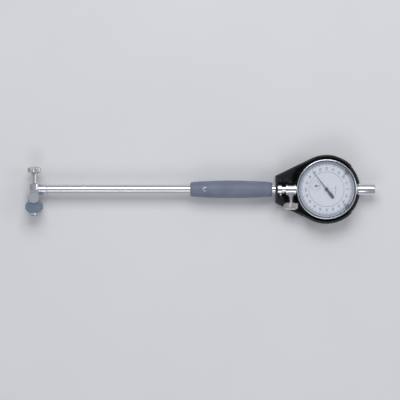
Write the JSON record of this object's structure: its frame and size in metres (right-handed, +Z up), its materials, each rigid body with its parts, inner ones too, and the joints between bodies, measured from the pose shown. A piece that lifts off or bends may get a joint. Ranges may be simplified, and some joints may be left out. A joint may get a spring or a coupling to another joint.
{
  "type": "dial bore gauge",
  "caption": "Two-point dial bore gauge lying on its back: measuring head with sprung contact and centring guide, tube, grip, clamp and a guarded dial indicator.",
  "frame": {"origin": "on the surface that the gauge lies on, under the centre of the dial, on the back face of the guard", "axes": "+X along the tube from the measuring head to the dial's spindle cap, +Y along the measuring line from the sprung contact to the anvil side, +Z up, out of the face of the dial"},
  "size_m": [0.3333, 0.0656, 0.029],
  "materials": {
    "satin_steel": "satin ground steel",
    "blued_steel": "dark blue-grey hardened steel",
    "chrome": "polished chrome plate",
    "nickel": "nickel plate, knurled on the knobs",
    "grip_plastic": "matt grey-blue moulded plastic",
    "black_plastic": "glossy black moulded plastic",
    "body_metal": "machined light metal, lacquered",
    "brass": "plain turned brass",
    "spring_steel": "drawn spring wire",
    "tool_steel": "hardened and ground",
    "white_face": "white lacquer with black print",
    "black_hand": "black lacquer",
    "marker_paint": "dark lacquer",
    "seal_rubber": "black seal",
    "window": "clear window"
  },
  "bodies": {
    "frame": {"head_body": "satin_steel", "crank_pin": "tool_steel", "plunger_bush": "brass", "head_collar": "satin_steel", "guide_screws": "chrome", "stem_tube": "satin_steel", "tube_set_screw": "nickel", "rod_bush_front": "brass", "rod_bush_middle": "brass", "rod_bush_rear": "brass", "rod_spring": "spring_steel", "handle_grip": "grip_plastic", "neck_tube": "chrome", "clamp_body": "chrome", "split_sleeve": "brass", "guard": "black_plastic", "guard_nut": "black_plastic", "indicator_body": "body_metal", "back_cover": "body_metal", "back_screws": "chrome", "indicator_stem": "chrome", "spindle_cap": "chrome", "spindle_spring": "spring_steel", "movement_plate": "brass", "pinion_cock": "brass", "bridge_plate": "brass", "pillars": "brass", "centre_plate": "white_face"},
    "contact": {"contact_plunger": "tool_steel", "contact_tip": "chrome"},
    "crank": {"bell_crank": "tool_steel"},
    "rod": {"push_rod_tip": "tool_steel", "push_rod": "tool_steel", "push_rod_cap": "tool_steel", "rod_collar": "tool_steel"},
    "spindle_group": {"spindle": "tool_steel", "spindle_pin": "tool_steel", "spindle_tip": "tool_steel"},
    "rack_train": {"rack_pinion": "tool_steel", "rack_wheel": "brass"},
    "counter_train": {"counter_arbor": "tool_steel", "counter_wheel": "brass", "counter_pointer": "black_hand"},
    "pointer_train": {"centre_arbor": "tool_steel", "pointer": "black_hand"},
    "take_up_train": {"take_up_arbor": "tool_steel", "take_up_wheel": "brass"},
    "guide": {"centring_guide": "blued_steel", "guide_springs": "spring_steel"},
    "anvil_washer_body": {"anvil_washer": "nickel"},
    "anvil_screw_body": {"anvil_screw": "nickel"},
    "clamp_pad_body": {"clamp_pad": "brass"},
    "clamp_screw_body": {"clamp_screw": "nickel"},
    "bezel_group": {"bezel": "chrome", "crystal": "window", "crystal_gasket": "seal_rubber", "dial_ring": "white_face"},
    "marker_upper": {"limit_marker_upper": "marker_paint"},
    "marker_lower": {"limit_marker_lower": "marker_paint"}
  },
  "joints": [
    {"name": "pointer_turn", "type": "hinge", "parent": "frame", "child": "pointer_train", "pos_m": [0, 0, 0.0227], "axis": [0, 0, -1], "range_deg": [0, 2160]},
    {"name": "contact_slide", "type": "slide", "parent": "frame", "child": "contact", "axis": [0, 1, 0], "range_m": [0, 0.0012]},
    {"name": "crank_swing", "type": "hinge", "parent": "frame", "child": "crank", "pos_m": [-0.2753, -0.0032, 0.0145], "axis": [0, 0, -1], "range_deg": [0, 21.61]},
    {"name": "push_rod_slide", "type": "slide", "parent": "frame", "child": "rod", "axis": [1, 0, 0], "range_m": [0, 0.0012], "stiffness_N_per_m": 800, "springref_m": -0.003},
    {"name": "spindle_slide", "type": "slide", "parent": "frame", "child": "spindle_group", "axis": [1, 0, 0], "range_m": [0, 0.0012]},
    {"name": "rack_pinion_turn", "type": "hinge", "parent": "frame", "child": "rack_train", "pos_m": [-0.01406, -0.00324, 0.0145], "axis": [0, 0, -1], "range_deg": [0, 43.2]},
    {"name": "counter_turn", "type": "hinge", "parent": "frame", "child": "counter_train", "pos_m": [-0.01003, 0.0033, 0.0145], "axis": [0, 0, 1], "range_deg": [0, 216]},
    {"name": "take_up_turn", "type": "hinge", "parent": "frame", "child": "take_up_train", "pos_m": [0.01003, -0.0033, 0.0145], "axis": [0, 0, 1], "range_deg": [0, 216]},
    {"name": "guide_slide", "type": "slide", "parent": "frame", "child": "guide", "axis": [0, 1, 0], "range_m": [0, 0.0022], "stiffness_N_per_m": 500, "springref_m": -0.003},
    {"name": "anvil_screw_travel", "type": "slide", "parent": "frame", "child": "anvil_washer_body", "axis": [0, 1, 0], "range_m": [0, 0.0024]},
    {"name": "anvil_screw_turn", "type": "hinge", "parent": "anvil_washer_body", "child": "anvil_screw_body", "pos_m": [-0.2785, 0, 0.0145], "axis": [0, 1, 0], "range_deg": [0, 1080]},
    {"name": "clamp_screw_travel", "type": "slide", "parent": "frame", "child": "clamp_pad_body", "axis": [0, -1, 0], "range_m": [0, 0.0014]},
    {"name": "clamp_screw_turn", "type": "hinge", "parent": "clamp_pad_body", "child": "clamp_screw_body", "pos_m": [-0.03355, 0, 0.0145], "axis": [0, -1, 0], "range_deg": [0, 720]},
    {"name": "bezel_turn", "type": "hinge", "parent": "frame", "child": "bezel_group", "pos_m": [0, 0, 0], "axis": [0, 0, 1], "continuous": true},
    {"name": "upper_marker_turn", "type": "hinge", "parent": "bezel_group", "child": "marker_upper", "pos_m": [0, 0, 0], "axis": [0, 0, 1], "range_deg": [-30, 60]},
    {"name": "lower_marker_turn", "type": "hinge", "parent": "bezel_group", "child": "marker_lower", "pos_m": [0, 0, 0], "axis": [0, 0, 1], "range_deg": [-60, 30]}
  ],
  "couplings": [
    {"joint": "contact_slide", "follows": "push_rod_slide", "ratio": 1},
    {"joint": "spindle_slide", "follows": "push_rod_slide", "ratio": 1},
    {"joint": "crank_swing", "follows": "push_rod_slide", "rad_per_m": 314.36},
    {"joint": "pointer_turn", "follows": "push_rod_slide", "rad_per_m": 31416},
    {"joint": "rack_pinion_turn", "follows": "push_rod_slide", "rad_per_m": 628.31},
    {"joint": "counter_turn", "follows": "push_rod_slide", "rad_per_m": 3141.6},
    {"joint": "take_up_turn", "follows": "push_rod_slide", "rad_per_m": 3141.6},
    {"joint": "anvil_screw_travel", "follows": "anvil_screw_turn", "m_per_rad": 0.00012732},
    {"joint": "clamp_screw_travel", "follows": "clamp_screw_turn", "m_per_rad": 0.00011141}
  ]
}
